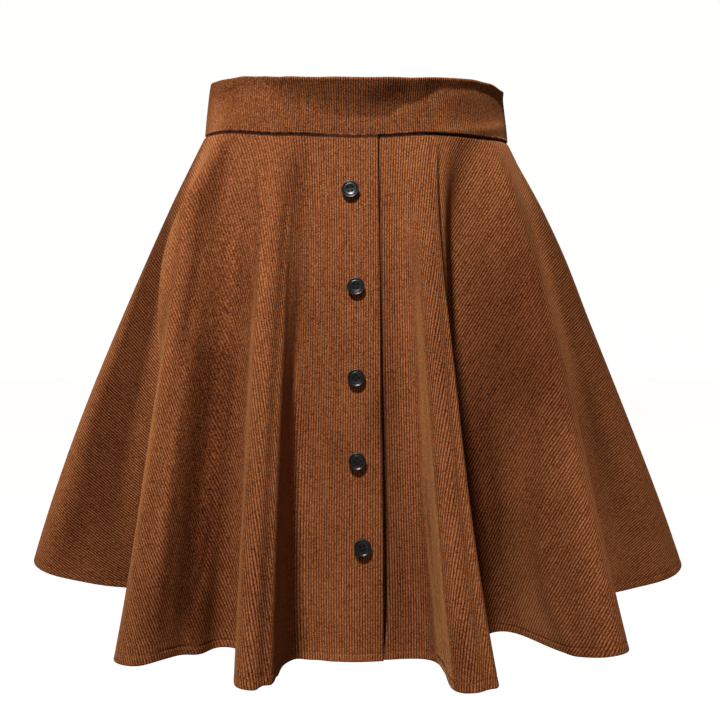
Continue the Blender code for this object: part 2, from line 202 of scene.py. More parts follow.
def cloth(u, v):
    """Points on the outside of the plain cloth form, (rows, columns, 3)."""
    angle = waist_angle(u)
    waist = WAIST_HALF_WIDTH * np.sin(angle), WAIST_HALF_DEPTH * np.cos(angle)
    mid, hem = fold_section(u, 0.5, "mid"), fold_section(u, 1.0, "hem")
    out = np.array([WAIST_HALF_DEPTH * np.sin(angle),
                    WAIST_HALF_WIDTH * np.cos(angle)])
    out /= np.hypot(*out)
    hip, length = fold_curve(u, 1, "hip"), fold_curve(u, 1, "length")

    def plan(w):
        return [(1 - w) * (1 - 2 * w) * waist[i] + 4 * w * (1 - w) * mid[i]
                + w * (2 * w - 1) * hem[i]
                + hip * HIP_PEAK * w * (1 - w) ** 2 * out[i] for i in (0, 1)]

    across, forward = plan(0 * v)
    drop = 0 * v
    for step in range(1, CLOTH_STEPS + 1):
        next_across, next_forward = plan(v * step / CLOTH_STEPS)
        run = length * v / CLOTH_STEPS
        fall = run**2 - (next_across - across)**2 - (next_forward - forward)**2
        drop = drop + np.sign(v) * np.sqrt(np.maximum(fall, (LEAST_FALL * run)**2))
        across, forward = next_across, next_forward
    height = WAIST_SEAM_HEIGHT + wave(u, SEAM_WAVES) * (1 - v) - drop
    return np.stack([across, -forward, height], axis=-1)


# Creases and soft dents that the cloth has taken: the width in millimetres to
# the left and to the right of a line down the cloth, and the line's stations,
# each a level in per cent, a cut in degrees and millimetres out, or in below 0.
CREASES = [
    # the two left folds and the valley between them
    (5, 5, [(4, -45, 0), (13, -46, 1.2), (26, -44, 1.6), (40, -42, 1.4),
     (60, -41, 0)]),
    (17, 15, [(6, -47, 0), (12, -48, 3.5), (18, -50, 10), (26, -51, 15),
     (36, -51, 14), (50, -51, 7), (68, -51, 0)]),
    (16, 13, [(5, -33, 0), (14, -30, -3), (30, -27.5, -6), (52, -28, -7),
     (75, -29, -6), (100, -30, -3)]),
    (3, 5.5, [(3, -22.5, 0), (9, -21.5, 1.4), (17, -18.6, 2), (31, -15.6, 2),
     (46, -14.8, 1.6), (66, -14.5, 0)]),
    (3, 3, [(72, -27, 0), (80, -27.4, -1.2), (94, -29.8, 0)]),
    (7, 7, [(3, -11, 0), (15, -11, -1.2), (29, -9.7, -1.2), (40, -9, 0)]),
    # the side folds, hollow behind the front ones
    (30, 20, [(15, -60, 0), (40, -64, -5), (70, -65, -6), (105, -66, -2)]),
    (20, 30, [(15, 62, 0), (40, 64, -4), (70, 65, -5), (105, 66, -2)]),
    # the trough beyond the third fold
    (6, 6, [(42, -6.1, 0), (52, -4.8, -1.6), (62, -4.1, -2.6), (80, -3.8, -2.8),
     (105, -3.6, -2)]),
    # the fold right of the buttons, with a pressed line and a sharp far edge
    (6.5, 4.5, [(44, 6.9, 0), (56, 6.6, 0.7), (68, 5.9, 1), (80, 6, 1),
     (90, 6.4, 0.8), (105, 7, 0.3)]),
    (3, 9, [(3, 18, -1), (8, 17.6, -2.8), (16, 17.1, -3.8), (28, 17.1, -3.8),
     (40, 17.5, -2.4), (55, 18, 0)]),
    (10, 16, [(30, 21, 0), (45, 21, -4), (70, 21, -6), (105, 21.5, -5)]),
    # the hip on the wearer's left
    (35, 30, [(5, 78, 0), (15, 78, 2.6), (26, 78, 3.4), (40, 78, 0.6),
     (60, 78, -1.2), (90, 78, 0)]),
    # pressed lines in the hollow beyond the fold
    (4.5, 6, [(1, 36, 0), (7, 35.4, 1.2), (16, 35.2, 1.4), (26, 36.2, 0.9),
     (36, 37, 0)]),
    (8, 8, [(34, 41, 0), (46, 40.3, 1.6), (60, 39.8, 2.4), (75, 37.8, 2.4),
     (88, 37, 2.2), (105, 39, 1)]),
]


def crease_height(u, v):
    total = 0 * u
    for left, right, line in CREASES:
        levels, cuts, out = np.array(line).T
        levels = levels / 100
        where = np.clip(v, levels[0], levels[-1])
        cut = eased(levels, cuts, np.gradient(cuts, levels), where)
        height = eased(levels, out, np.gradient(out, levels), where) / 1000
        away = cloth_arc(u, v) - cut_line(cut, v)
        width = np.where(away < 0, left, right) / 1000
        total = total + height * near(away, width)
    return total


def lengths(vectors):
    return np.maximum(np.linalg.norm(vectors, axis=-1, keepdims=True), 1e-12)


def cloth_normals(points):
    normal = np.cross(np.gradient(points, axis=0), np.gradient(points, axis=1))
    return normal / lengths(normal)


CLOTH_WALL = 0.0013
BUTTED = 0.0005             # how near a seam the two walls turn alike
SEAM_SINK = 0.0018          # how near it the cloth dips in
HEM_TURN = 0.0095           # depth of the turned-up hem
HEM_STITCH = 0.0066         # its stitching, above the edge
PLACKET_EDGE = 0.0165       # folded edge, from the centre front line
PLACKET_SPREAD = 0.0045     # how much further out it lies at the hem
PLACKET_TURN = 0.032        # how far the folded edge goes back inside
UNDERLAP_EDGE = -0.0190     # edge of the under front, from the same line
LAP_RAMP = 0.0130           # over which the lap climbs onto it
LAP_STEP = 0.0018           # how far it climbs
LAP_SPRING = 0.0022         # how far its edge springs away besides
PUCKER = 0.0016             # a pucker's length, over 2 pi


def cloth_levels():
    """Rows down the cloth, close together at the waist seam and at the hem."""
    waist = np.array([-60, -30, 0, 6, 14, 24, 40, 60, 90]) / 10000
    hem = 1 - np.array([145, 115, 104, 95, 88, 80, 73, 69, 66, 63, 59, 52, 42, 32,
                        24, 17, 11, 6, 2, 0]) / 10000 / CLOTH_LENGTH
    return np.concatenate([waist, np.linspace(waist[-1], hem[0], 96)[1:-1], hem])


def placed_between(start, end, count, near_start, near_end, crowds=()):
    """Stations from start to end, with set distances close to either end.
    Each crowd is a (place, reach, packing) where they stand closer."""
    fine = np.linspace(start + near_start[-1], end - near_end[-1], 6001)
    weight = 1.0 + 0 * fine
    for place, reach, packing in crowds:
        weight += packing * near(fine - place, reach)
    walked = summed(weight[1:] + weight[:-1])
    between = np.interp(np.linspace(0, walked[-1], count), walked, fine)
    return np.concatenate([start + near_start[:-1], between,
                           end - near_end[-2::-1]])


SEAM_STRIPS = np.array([0, 3, 9, 18, 32, 55]) / 10000
FOLDED_STRIPS = np.array([0, 2, 6, 11, 17, 26, 40, 60]) / 10000


def pattern(u, v, turn):
    """Where a point lies on the flat cut piece, across and along the wales.
    turn is the cut angle at which this piece's grain runs."""
    fine = np.linspace(-2.02 * QUARTER, 2.02 * QUARTER, 8001)
    lean = cut_angle(fine) - turn
    step = fine[1] - fine[0]
    across = summed(np.cos(lean[1:]) * step)
    along = summed(np.sin(lean[1:]) * step)
    middle = 0.0 if turn == 0 else np.sign(turn) * 2 * QUARTER
    across -= np.interp(middle, fine, across)
    along -= np.interp(middle, fine, along)
    lean = cut_angle(u) - turn
    return (np.interp(u, fine, across) + CLOTH_LENGTH * v * np.sin(lean),
            np.interp(u, fine, along) - CLOTH_LENGTH * v * np.cos(lean))


BIAS_SPREAD = 0.20          # how much further apart ribs hang on the bias


def rib_place(plain, flat, lean, straight):
    """The place across the wales, evened out so that the ribs keep their width
    where the hung cloth draws in, and open a little where it hangs on the bias.
    plain is the cloth's form, flat the place across on the cut piece, lean how
    far the wales turn, and straight the column along a wale."""
    rows = np.linspace(0, plain.shape[0] - 1, 33).astype(int)
    columns = np.linspace(0, plain.shape[1] - 1, 73).astype(int)
    form, across = plain[np.ix_(rows, columns)], flat[np.ix_(rows, columns)]
    ways = [np.gradient(form, axis=axis) for axis in (0, 1)]
    rises = [np.gradient(across, axis=axis) for axis in (0, 1)]
    down, round_, mixed = [(ways[i] * ways[j]).sum(-1)
                           for i, j in ((0, 0), (1, 1), (0, 1))]
    climb = ((down * rises[1] - mixed * rises[0])[..., None] * ways[1]
             + (round_ * rises[0] - mixed * rises[1])[..., None] * ways[0])
    climb /= lengths(climb)
    climb /= 1 + BIAS_SPREAD * np.clip(lean[np.ix_(rows, columns)] / 0.7, 0,
                                       1)[..., None] ** 1.5
    index = np.arange(across.size).reshape(across.shape)
    held = index[:, straight]
    # least squares: from point to point, the place climbs as the ribs ask
    matrix, target = np.zeros((across.size,) * 2), np.zeros(across.size)
    for axis, aside in ((0, round_), (1, down)):
        last = index.shape[axis] - 1
        here, there = [[part.take(range(start, start + last), axis)
                        for part in (index, form, climb, aside)]
                       for start in (0, 1)]
        step = there[1] - here[1]
        length = np.maximum(np.linalg.norm(step, axis=-1), 1e-6)
        weight = (np.sqrt(here[3]) + np.sqrt(there[3])) / 2 / length
        gain = ((here[2] + there[2]) / 2 * step).sum(-1) * weight
        for one, other, sign in ((here[0], there[0], -1), (there[0], here[0], 1)):
            np.add.at(matrix, (one, one), weight)
            np.add.at(matrix, (one, other), -weight)
            np.add.at(target, one, sign * gain)
    matrix[held, held] += 1e4
    target[held] += 1e4 * across[:, straight]
    shift = np.linalg.solve(matrix, target).reshape(across.shape) - across
    shift = np.stack([np.interp(np.arange(plain.shape[1]), columns, row)
                      for row in shift])
    return flat + np.stack([np.interp(np.arange(plain.shape[0]), rows, column)
                            for column in shift.T], axis=1)


def waist_at_pattern(distance, v):
    """The u whose strip crosses a line parallel to the centre front."""
    fine = np.linspace(-0.3 * QUARTER, 0.3 * QUARTER, 401)
    across = fine + CLOTH_LENGTH * v * np.sin(cut_angle(fine))
    return float(np.interp(distance, across, fine))


def rounded(distance, radius):
    """Share of the wall's half thickness this far from a rounded edge."""
    lack = np.clip(1 - distance / radius, 0, 1)
    return np.sqrt(np.maximum(1 - lack**2, 0))


def linked(name, data):
    item = bpy.data.objects.new(name, data)
    bpy.context.scene.collection.objects.link(item)
    return item


def sewn_cloth(name, points, plain, seam, wall, edge, flat, sewing, painted_shade, turned):
    """A closed shell of cloth.  points is its outside, plain the way the form
    faces before it dips into its seams, seam the distance to a seam at its
    side, wall its thickness and edge the distance to the nearest rounded edge,
    all per grid point.  flat is the point's place on the cut piece, sewing its
    place along the hem, above the hem and from the waist seam, and nap the
    painted shade on its pile, darker above 0 and lighter below, with how far the
    pile is ruffled; turned marks where the right side shows on the inside too."""
    close = near(seam, BUTTED)[..., None] * lengths(plain)
    normal = cloth_normals(points) * (1 - close) + plain * close
    normal /= lengths(normal)
    half = wall[..., None] / 2
    middle = points - normal * half
    share = rounded(edge, wall / 2)[..., None]
    outside, inside = middle + normal * half * share, middle - normal * half * share
    rows, columns = points.shape[:2]
    count = rows * columns
    index = np.arange(count).reshape(rows, columns)
    quads = np.stack([index[:-1, :-1], index[1:, :-1], index[1:, 1:],
                      index[:-1, 1:]], axis=-1).reshape(-1, 4)
    back = quads[:, ::-1] + count
    rims = []
    for line, flip in ((index[:, 0], True), (index[:, -1], False),
                       (index[0], False), (index[-1], True)):
        strip = np.stack([line[:-1], line[1:], line[1:] + count,
                          line[:-1] + count], axis=-1)
        rims.append(strip[:, ::-1] if flip else strip)
    mesh = bpy.data.meshes.new(name)
    mesh.from_pydata(
        np.concatenate([outside.reshape(-1, 3), inside.reshape(-1, 3)]).tolist(),
        [], np.concatenate([quads, back, *rims]).tolist())
    inner_turned = turned.reshape(-1)[quads[:, ::-1]].mean(axis=1) > 0.5
    finish = np.concatenate([np.zeros(len(quads), int),
                             np.where(inner_turned, 0, 1),
                             np.zeros(sum(map(len, rims)), int)])
    mesh.polygons.foreach_set("material_index", finish)

    def both_sides(parts):
        rows = np.stack([part.reshape(-1) for part in parts], axis=-1)
        return np.concatenate([rows, rows])

    corner = np.empty(len(mesh.loops), int)
    mesh.loops.foreach_get("vertex_index", corner)
    mesh.uv_layers.new(name="cut").data.foreach_set(
        "uv", both_sides(flat)[corner].reshape(-1))
    # The painted shade and the ruffling go onto the mesh as an attribute.
    for layer, parts in (("sewing", sewing), ("painted_shade", (*painted_shade, 0 * painted_shade[0]))):
        mesh.attributes.new(layer, "FLOAT_VECTOR", "POINT").data.foreach_set(
            "vector", both_sides(parts).reshape(-1))
    mesh.shade_smooth()
    mesh.materials.append(corduroy_face)
    mesh.materials.append(corduroy_back)
    tidy = bmesh.new()
    tidy.from_mesh(mesh)
    bmesh.ops.remove_doubles(tidy, verts=tidy.verts, dist=0.000002)
    bmesh.ops.dissolve_degenerate(tidy, edges=tidy.edges, dist=0.000001)
    tidy.to_mesh(mesh)
    tidy.free()
    return linked(name, mesh)


def both_ways(operation):
    """The operators for a strand with another value, and the other way round."""
    return (lambda strand, other: strand.finish.maths(operation, strand, other),
            lambda strand, other: strand.finish.maths(operation, other, strand))


class Strand:
    """A value or colour on its way through a finish's nodes."""

    __add__, __radd__ = both_ways("ADD")
    __sub__, __rsub__ = both_ways("SUBTRACT")
    __mul__, __rmul__ = both_ways("MULTIPLY")
    __truediv__, __rtruediv__ = both_ways("DIVIDE")
    __pow__, __rpow__ = both_ways("POWER")

    def __init__(self, finish, socket):
        self.finish, self.socket = finish, socket

    def ridges(self):
        """Rounded ridges, one for each unit."""
        wave = self.finish.maths("SINE", self * pi)
        return self.finish.maths("ABSOLUTE", wave)

    def clear_of(self, low, high):
        """0 at low, 1 at high, eased between."""
        return self.finish.node("ShaderNodeMapRange",
                                {"interpolation_type": "SMOOTHSTEP"},
                                {"Value": self, "From Min": low,
                                 "From Max": high})


class Finish:
    """A material under way: its nodes, and the shader that they end in."""

    def __init__(self, name):
        self.material = bpy.data.materials.new(name)
        self.material.use_nodes = True
        self.tree = self.material.node_tree
        self.shader = self.tree.nodes["Principled BSDF"]

    def node(self, kind, settings=None, inputs=None, output=0):
        made = self.tree.nodes.new(kind)
        for setting, value in (settings or {}).items():
            setattr(made, setting, value)
        for key, value in (inputs or {}).items():
            self.feed(made.inputs[key], value)
        return Strand(self, made.outputs[output])

    def feed(self, socket, value):
        if isinstance(value, Strand):
            self.tree.links.new(value.socket, socket)
        elif isinstance(value, tuple):
            socket.default_value = (*value, 1)
        else:
            socket.default_value = value

    def maths(self, operation, *values):
        return self.node("ShaderNodeMath", {"operation": operation},
                         dict(enumerate(values)))

    def blend(self, share, first, second, way="MIX"):
        """Colours: first where share is 0, second, or its product with first,
        where share is 1."""
        mix = self.tree.nodes.new("ShaderNodeMix")
        mix.data_type, mix.blend_type = "RGBA", way
        for socket, value in ((mix.inputs[0], share), (mix.inputs[6], first),
                              (mix.inputs[7], second)):
            self.feed(socket, value)
        return Strand(self, mix.outputs[2])

    def ramp(self, tone, *stops):
        made = self.tree.nodes.new("ShaderNodeValToRGB")
        elements = made.color_ramp.elements
        while len(elements) < len(stops):
            elements.new(1)
        for stop, (at, colour) in zip(elements, stops):
            stop.position, stop.color = at, (*colour, 1)
        self.feed(made.inputs["Fac"], tone)
        return Strand(self, made.outputs[0])

    def place(self):
        return self.node("ShaderNodeTexCoord", {}, {}, 3)

    def noise(self, where, scale=1.0, detail=2.0, rough=0.5):
        if isinstance(where, tuple):
            where = self.node("ShaderNodeCombineXYZ", {}, dict(enumerate(where)))
        return self.node("ShaderNodeTexNoise", {"noise_dimensions": "3D"},
                         {"Vector": where, "Scale": scale, "Detail": detail,
                          "Roughness": rough})

    def bump(self, height, strength, distance):
        return self.node("ShaderNodeBump", {}, {"Strength": strength,
                                                "Distance": distance,
                                                "Height": height})

    def carried(self, kind, settings, output=0):
        """The three parts of a vector that the mesh carries."""
        parts = self.tree.nodes.new("ShaderNodeSeparateXYZ")
        self.feed(parts.inputs[0], self.node(kind, settings, {}, output))
        return [Strand(self, part) for part in parts.outputs]

    def wear(self, **constants):
        for socket, value in constants.items():
            self.feed(self.shader.inputs[socket.replace("_", " ")], value)


WALE = 0.00183              # from one rib of the corduroy to the next
TUFT, FIBRE, STREAK = 0.0013, 0.0008, 0.030     # lengths along a rib
STITCH = 0.0031             # from one stitch to the next
STITCH_GAP = (0.62, 0.70)   # where a stitch ends and dips in, of its length
# The pile by tone, from the roots of the ribs to their tips: the dark root and side
# colours are partly painted shade in the grooves between the ribs, and the pale
# tips are partly a painted highlight on their tops.
PILE_TIPS = (0.540, 0.212, 0.086)
PILE_FACE = (0.308, 0.096, 0.0290)
PILE_SIDE = (0.176, 0.047, 0.0120)
PILE_ROOT = (0.060, 0.0135, 0.0032)
# Painted shade: the colour that the pile is multiplied towards where it is painted
# darker.
PAINTED_SHADE_TINT = (0.40, 0.32, 0.26)
HEM_THREAD = (0.210, 0.070, 0.022)
# Near-black along the waist seam: the seam's dark thread together with painted
# shade in its crevice.
SEAM_THREAD_AND_SHADE = (0.010, 0.0026, 0.0034)
MIDDLE_TONE = 0.40


def corduroy(name):
    """The right side: cut pile in rounded ribs with narrow grooves, whose
    darkness is partly painted shade, with painted shade and painted highlight laid
    over it from the mesh's painted-shade attribute."""
    finish = Finish(name)
    across, along, _ = finish.carried("ShaderNodeUVMap", {"uv_map": "cut"})
    along_hem, above_hem, below_waist = finish.carried(
        "ShaderNodeAttribute", {"attribute_name": "sewing"}, 1)
    # The painted shade, darker above 0 and lighter below, and how far the pile is
    # ruffled.
    painted_shade, ruffled, _ = finish.carried(
        "ShaderNodeAttribute", {"attribute_name": "painted_shade"}, 1)
    drift = finish.noise((across * 60.0, along * 14.0))
    rib = (across + (drift - 0.5) * 0.0006) / WALE
    profile = rib.ridges() * (1 - ruffled * 0.62) + ruffled * 0.40
    tuft = finish.noise((rib * 1.7, along / TUFT, 0.3), detail=1.0, rough=0.6)
    fibre = finish.noise((rib * 2.9, along / FIBRE, 7.7), detail=0.0)
    streak = finish.noise((rib * 0.8, along / STREAK, 4.0))
    brushed = finish.noise((across / 0.035, along / 0.060, 9.0), detail=3.0)
    grain = finish.noise(finish.place(), 620.0, 1.0, 0.6)
    off_line = finish.maths("ABSOLUTE", (above_hem - HEM_STITCH) / 0.00045)
    along_stitch = finish.maths("FRACT", along_hem / STITCH)
    thread = (1 - off_line.clear_of(0.5, 1.0)) * (
        1 - along_stitch.clear_of(*STITCH_GAP))
    # Painted shade in the crevice of the waist seam, together with its dark thread:
    # a near-black line along the seam, wider under each rib.
    seam_thread_and_shade = 1 - (finish.maths("ABSOLUTE", below_waist)
                   / (0.0013 + rib.ridges() * 0.0009)).clear_of(0.45, 1.0)
    height = profile ** 0.7 * (0.85 + (tuft - 0.5) * 0.5) + thread * 0.5
    # Painted highlight: the tone rises where the painted shade is below 0.
    tone = (0.08
            + profile ** 1.3 * (0.70 + (tuft - 0.5) * 0.8 + (fibre - 0.5) * 1.5)
            + (grain - 0.5) * (0.60 + ruffled * 0.5) + (streak - 0.5) * 0.34
            + (brushed - 0.5) * 0.24 - finish.maths("MINIMUM", painted_shade, 0.0) * 0.5)
    # Painted shade: the ribs stand out more where the pile is painted darker.
    contrast = 0.90 + finish.maths("MAXIMUM", painted_shade, 0.0) * 0.55
    pile = finish.ramp((tone - MIDDLE_TONE) * contrast + MIDDLE_TONE,
                       (0.0, PILE_ROOT), (0.28, PILE_SIDE), (0.60, PILE_FACE),
                       (1.0, PILE_TIPS))
    # Painted shade: the pile is darkened towards the shade tint.
    pile = finish.blend(painted_shade, pile, PAINTED_SHADE_TINT, "MULTIPLY")
    colour = finish.blend(thread * 0.75, pile, HEM_THREAD)
    finish.wear(Base_Color=finish.blend(seam_thread_and_shade * 0.85, colour, SEAM_THREAD_AND_SHADE),
                Normal=finish.bump(height, 0.75, 0.00050),
                Roughness=0.86 + (tuft - 0.5) * 0.16,
                Sheen_Weight=0.20, Sheen_Roughness=0.28,
                Sheen_Tint=(1.0, 0.43, 0.15), Specular_IOR_Level=0.10)
    return finish.material


def wrong_side(name):
    """The plain woven back of the same cloth."""
    finish = Finish(name)
    across, along, _ = finish.carried("ShaderNodeUVMap", {"uv_map": "cut"})
    weave = (((across + along) / 0.00075).ridges() * 0.6
             + ((across - along * 0.35) / 0.0006).ridges() * 0.4)
    slub = finish.noise((across / 0.0012, along / 0.008), detail=3.0)
    cloud = finish.noise((across / 0.04, along / 0.05, 2.0))
    tone = weave * 0.5 + (slub - 0.5) * 0.6 + (cloud - 0.5) * 0.3 + 0.2
    finish.wear(Base_Color=finish.ramp(tone, (0.0, (0.062, 0.020, 0.0070)),
                                       (0.5, (0.122, 0.042, 0.0155)),
                                       (1.0, (0.175, 0.066, 0.026))),
                Normal=finish.bump(weave, 0.5, 0.0002), Roughness=0.92,
                Sheen_Weight=0.12, Sheen_Roughness=0.5,
                Sheen_Tint=(1.0, 0.7, 0.5), Specular_IOR_Level=0.15)
    return finish.material


corduroy_face = corduroy("brown_corduroy")
corduroy_back = wrong_side("corduroy_wrong_side")


# Painted shade and painted highlight in soft patches over the whole skirt and
# the waistband: darker in the valleys, flanks and hollows of the folds and where
# they lie in shadow, lighter on lit edges and rims.  The cut in degrees and the
# level in per cent, the reach along the cloth in millimetres and down it in per
# cent, and how much darker, or lighter below 0, in per cent.
PAINTED_SHADE_PATCHES = [
    # the side fold and the two folds on the wearer's right
    (-65, 41, 18, 18, 60), (-70, 22, 12, 8, 40), (-67.3, 30, 12, 10, 50),
    (-64.6, 46, 12, 12, 76), (-66.6, 66, 16, 16, 76), (-68, 88, 20, 8, 40),
    (-57, 72, 12, 22, -50), (-60.8, 66, 8, 14, -30), (-64.3, 66, 16, 14, 36),
    (-71.5, 50, 12, 26, -90), (-71, 84, 18, 16, -70), (-51, 30, 20, 22, -120),
    (-43, 62, 10, 28, -110), (-58.5, 36, 14, 16, -100), (-55, 12, 16, 8, -80),
    (-37, 7, 10, 6, 35), (-40.5, 17, 11, 10, 50), (-35.2, 15, 12, 8, 40),
    (-37, 33, 12, 14, 66), (-34.4, 80, 12, 20, 44), (-37.8, 92, 20, 10, 45),
    (-27.2, 64, 24, 22, 80), (-28.4, 88, 18, 12, 75), (-31.2, 98, 14, 4, -50),
    (-53, 5, 20, 10, -80), (-26, 100, 30, 3, -50), (-34.7, 98, 30, 2.2, -40),
    (-26.3, 49, 10, 6, 30), (-14.5, 33, 6, 12, -30), (-14, 72, 14, 22, 16),
    (-9.9, 12, 10, 8, 40), (-24, 30, 13, 14, 26), (-13, 13, 10, 8, 15),
    (-17, 36, 8, 22, -14), (-11.8, 86, 12, 20, 45), (-12, 30, 10, 16, 35),
    (-8.3, 6, 12, 6, 30), (-63.2, 83, 12, 12, 30),
    # beside the placket and the folds on the wearer's left
    (-1, 90, 30, 12, -24), (-0.5, 0, 50, 6, 16), (0, 99, 50, 2, -40),
    (-5.4, 46, 6, 10, -80), (1.1, 54, 10, 5, 40), (12.8, 96, 14, 5, 40),
    (-2.4, 36, 22, 20, 20), (2.3, 42, 9, 24, 40), (-1, 60, 8, 4, 40),
    (2.2, 80, 12, 14, 26), (8.5, 22, 12, 20, -14), (13, 38, 16, 24, 30),
    (3.2, 88, 20, 12, 22), (6.4, 88, 16, 16, 60), (12.4, 90, 10, 10, 14),
    (30.2, 86, 16, 14, 60), (17.5, 25, 7, 20, -40), (16.6, 75, 10, 25, -30),
    (37, 40, 28, 22, 46), (32.2, 66, 18, 16, 60), (26, 62, 14, 16, -80),
    (18.5, 16, 6, 12, -30), (32.2, 74, 10, 16, 36), (34.6, 88, 22, 10, -50),
    (42, 28, 14, 14, 30), (42, 48, 18, 12, 36), (36, 72, 14, 14, -40),
    (35, 96, 30, 7, -80), (72, 84, 34, 26, -60), (61.3, 36, 15, 30, -110),
    (64.4, 40, 8, 20, 40), (64.2, 66, 14, 14, 30), (45.6, 78, 14, 22, -110),
    (46, 42, 8, 20, -80), (56, 5, 26, 12, -100), (67, 97, 50, 6, -40),
    (62.6, 85, 18, 16, -60), (20, 5, 14, 6, -30),
    # the waistband
    (2.8, -7.7, 12, 1.8, 90), (7.3, -9, 12, 1, 50), (-9, -6, 14, 3, 24),
    (31, -6.8, 24, 1.8, 65), (60, -2, 20, 4, -60), (-44, -3, 26, 4, -30),
    (-48, -9, 26, 2, 40), (5.6, -5.2, 9, 1.2, -60), (20, -1.5, 60, 2, -14),
    (50, -7, 10, 3, 60),
]
# And where the pile is ruffled, so that the ribs blur.
RUFFLED = [
    (-30, 50, 50, 60, 90), (-51, 28, 20, 20, 90), (-6, 38, 55, 45, 40),
    (-45, -6, 30, 6, 50), (36, 78, 12, 16, 60),
]


# The sum of soft patches, used alike for the painted shade and highlight and for
# the ruffled pile.
def patch_sum(u, v, patches):
    return sum(
        dark / 100 * (near(cloth_arc(u, v) - cut_line(cut, v), across / 1000)
                      * near(v - level / 100, down / 100))
        for cut, level, across, down, dark in patches)


def painted_shade_and_ruffle(u, v, lean):
    """Painted shade on the pile: a little all over, more where the wales lean
    over towards the sides, darker or lighter in the painted patches; and how far
    the pile is ruffled."""
    painted_darkness = 0.32 + 0.24 * np.clip(lean / 0.9, 0, 1) ** 1.5 + patch_sum(u, v, PAINTED_SHADE_PATCHES)
    return np.clip(painted_darkness, -1, 1), np.clip(patch_sum(u, v, RUFFLED), 0, 1)


def cut_size(u, v, turn):
    """The flat cut piece: its width and length, and its area."""
    x, y = pattern(np.sign(turn) * np.abs(u) if turn else u, v, turn)
    cells = ((x[1:, 1:] - x[:-1, :-1]) * (y[1:, :-1] - y[:-1, 1:])
             - (y[1:, 1:] - y[:-1, :-1]) * (x[1:, :-1] - x[:-1, 1:])) / 2
    return {"flat": (float(np.ptp(x)), float(np.ptp(y))),
            "area": float(np.abs(cells.sum()))}


def falling(x):
    """1 well below nought, 0 well above."""
    return 1 / (1 + np.exp(x))


def puckers(u, height, swing, run):
    """Fine puckers along the waist seam, not quite even."""
    return height * np.sin(u / PUCKER + swing * np.sin(u / run))


def cloth_panel(name, u, v, turn, straight, lift, seam_edges, turned_edge=None):
    """Shape one panel: u and v per grid point, straight the column that runs
    along a wale, lift its height off the plain form, seam_edges the distance to
    its sewn sides, turned_edge the distance to a folded edge."""
    level = np.maximum(v, 0)
    points = cloth(u, level)
    normal = cloth_normals(points)
    flat_across, flat_along = pattern(u, v, turn)
    lean = np.abs(cut_angle(u) - turn)
    ribs = rib_place(points, flat_across, lean, straight)
    top = level * CLOTH_LENGTH
    hem = (1 - level) * CLOTH_LENGTH
    pucker = puckers(u, 0.00022, 1.3, 0.0132)
    # creased, puckered, and drawn in at the seams and the hem's stitching
    shape = (lift + crease_height(u, level) * (1 - np.exp(-top / 0.006))
             + pucker * np.exp(-top / 0.006) * (1 - np.exp(-top / 0.001))
             - 0.0012 * near(top, 0.0011) - 0.0009 * near(seam_edges, SEAM_SINK)
             - 0.00030 * near(hem - HEM_STITCH, 0.0007))
    points = points + normal * shape[..., None]
    points[..., 2] += np.where(v < 0, -v * CLOTH_LENGTH, 0)
    wall = CLOTH_WALL + 0.0006 * falling((hem - HEM_TURN) / 0.00030)
    turned = hem < HEM_TURN
    edge = np.minimum(hem, seam_edges)
    if turned_edge is not None:
        doubled = falling((turned_edge - PLACKET_TURN) / 0.0003)
        points = points + normal * (0.0003 * doubled)[..., None]
        wall = np.maximum(wall, CLOTH_WALL + 0.0008 * doubled)
        turned = turned | (turned_edge < PLACKET_TURN)
        edge = np.minimum(edge, turned_edge)
    return sewn_cloth(name, points, normal, seam_edges, wall, edge,
                      (ribs, flat_along),
                      (cloth_arc(u, 1.0), hem, v * CLOTH_LENGTH),
                      painted_shade_and_ruffle(u, level, lean), turned.astype(float))


def hang(piece, node, cut):
    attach(piece, "root")
    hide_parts(node)


def lap_shape(across, v):
    """How far the lap stands off the plain form: it climbs over the other
    front, and its edge springs away most at three quarters down."""
    climb = np.clip((across - UNDERLAP_EDGE + LAP_RAMP) / LAP_RAMP, 0, 1)
    climb = climb * climb * (3 - 2 * climb)
    edge = np.clip((across - 0.1 * PLACKET_EDGE) / PLACKET_EDGE, 0, 1) ** 2
    spring = np.interp(v, [0, 0.3, 0.55, 0.75, 0.90, 0.965, 1],
                       [0, 0.15, 0.7, 1, 0.6, 0.05, 0])
    return climb * LAP_STEP + edge * LAP_SPRING * spring


def front_grid(start, end, near_start, near_end, crowds):
    """Grid points of a front panel, and how far each is from the centre front
    on the cut piece.  start, end and crowds are asked for at each level."""
    u = np.array([waist_at_hem(placed_between(
        start(level), end(level), FRONT_COLUMNS, near_start, near_end,
        crowds(level))) for level in np.maximum(levels, 0)])
    v = np.broadcast_to(levels[:, None], u.shape)
    level = np.maximum(v, 0)
    return u, v, level, pattern(u, level, 0)[0]


def fold_line(level):
    return PLACKET_EDGE + PLACKET_SPREAD * level


def at_hem(distance, level):
    """Where the strip of cloth at this distance from the centre front and this
    level comes to the hem."""
    return cloth_arc(waist_at_pattern(distance, level), 1.0)


FRONT_COLUMNS = 330
side_seam = float(waist_at_cut(np.array(SEAM_CUT)))
levels = cloth_levels()
u, v, level, across = front_grid(
    lambda level: cloth_arc(-side_seam, 1.0),
    lambda level: at_hem(fold_line(level), level), SEAM_STRIPS, FOLDED_STRIPS,
    lambda level: [(cut_line(-7, 1), 0.030, 1.6), (cut_line(-15, 1), 0.030, 0.8),
                   (cut_line(-29, 1), 0.040, 0.4)])
lap_panel = cloth_panel("lap_panel", u, v, 0, -1, lap_shape(across, level),
                        cloth_arc(u, level) - cloth_arc(-side_seam, level),
                        np.maximum(fold_line(level) - across, 0))
hang(lap_panel, "front_lap_panel", cut_size(u, v, 0))


